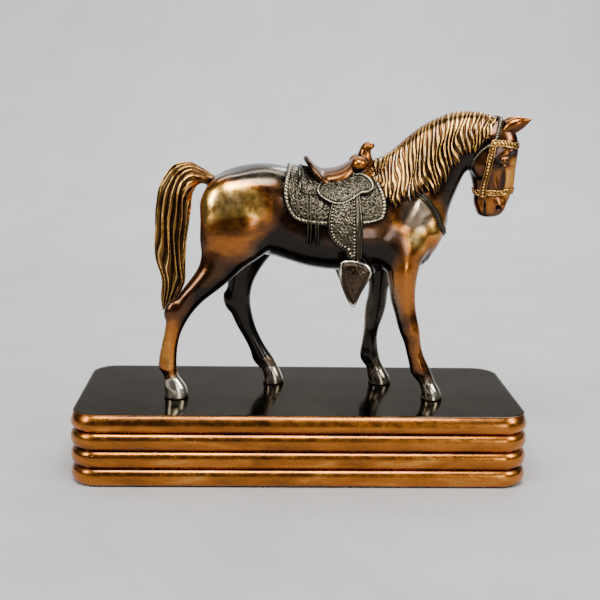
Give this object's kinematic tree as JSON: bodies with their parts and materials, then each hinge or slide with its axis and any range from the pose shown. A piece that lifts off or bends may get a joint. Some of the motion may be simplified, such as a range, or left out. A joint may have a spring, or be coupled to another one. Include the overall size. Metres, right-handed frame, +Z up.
{
  "type": "horse statuette",
  "caption": "Saddled western horse in copper-finished cast metal, walking stance with lowered head, standing on a hollow ribbed plinth with a felt-covered underside.",
  "frame": {"origin": "centre of the felt pad's underside, on the surface that the statuette stands on", "axes": "+X the way the horse faces, along the plinth; +Z up; -Y the near side, with the mane"},
  "size_m": [0.2539, 0.1078, 0.2059],
  "materials": {
    "plinth_copper": "copper plating, lacquered, the top face darkened",
    "board_fibre": "pressed fibre board",
    "felt_green": "felt",
    "screw_steel": "zinc-plated",
    "horse_copper": "copper plating, oxidised dark and rubbed back",
    "hair_copper": "copper plating, dark in the grooves",
    "tack_antique": "antiqued grey-brown, rubbed bright on the relief",
    "seat_copper": "copper plating, smooth",
    "tapadero_bronze": "dark bronze patina, bright rim"
  },
  "bodies": {
    "root": {"base_shell": "plinth_copper", "bottom_board": "board_fibre", "felt_pad": "felt_green", "head": "horse_copper", "tail": "hair_copper", "mane": "hair_copper", "saddle_blanket": "tack_antique", "saddle_skirt": "tack_antique", "saddle_seat": "seat_copper", "saddle_fork": "seat_copper", "cinch": "tack_antique", "breast_collar": "tack_antique", "crown_strap": "tack_antique", "browband": "tack_antique", "noseband": "tack_antique", "foreleg_near": "horse_copper", "screw_foreleg_near": "screw_steel", "washer_foreleg_near": "screw_steel", "foreleg_far": "horse_copper", "screw_foreleg_far": "screw_steel", "washer_foreleg_far": "screw_steel", "hindleg_near": "horse_copper", "screw_hindleg_near": "screw_steel", "washer_hindleg_near": "screw_steel", "hindleg_far": "horse_copper", "screw_hindleg_far": "screw_steel", "washer_hindleg_far": "screw_steel", "body_half_near": "horse_copper", "ear_near": "horse_copper", "seat_jockey_near": "tack_antique", "fender_near": "tack_antique", "stirrup_leather_near": "tack_antique", "saddle_strings_near": "tack_antique", "cheek_strap_near": "tack_antique", "throatlatch_near": "tack_antique", "rosette_near": "tack_antique", "tapadero_near": "tapadero_bronze", "body_half_far": "horse_copper", "ear_far": "horse_copper", "seat_jockey_far": "tack_antique", "fender_far": "tack_antique", "stirrup_leather_far": "tack_antique", "saddle_strings_far": "tack_antique", "cheek_strap_far": "tack_antique", "throatlatch_far": "tack_antique", "rosette_far": "tack_antique", "tapadero_far": "tapadero_bronze"}
  },
  "joints": []
}
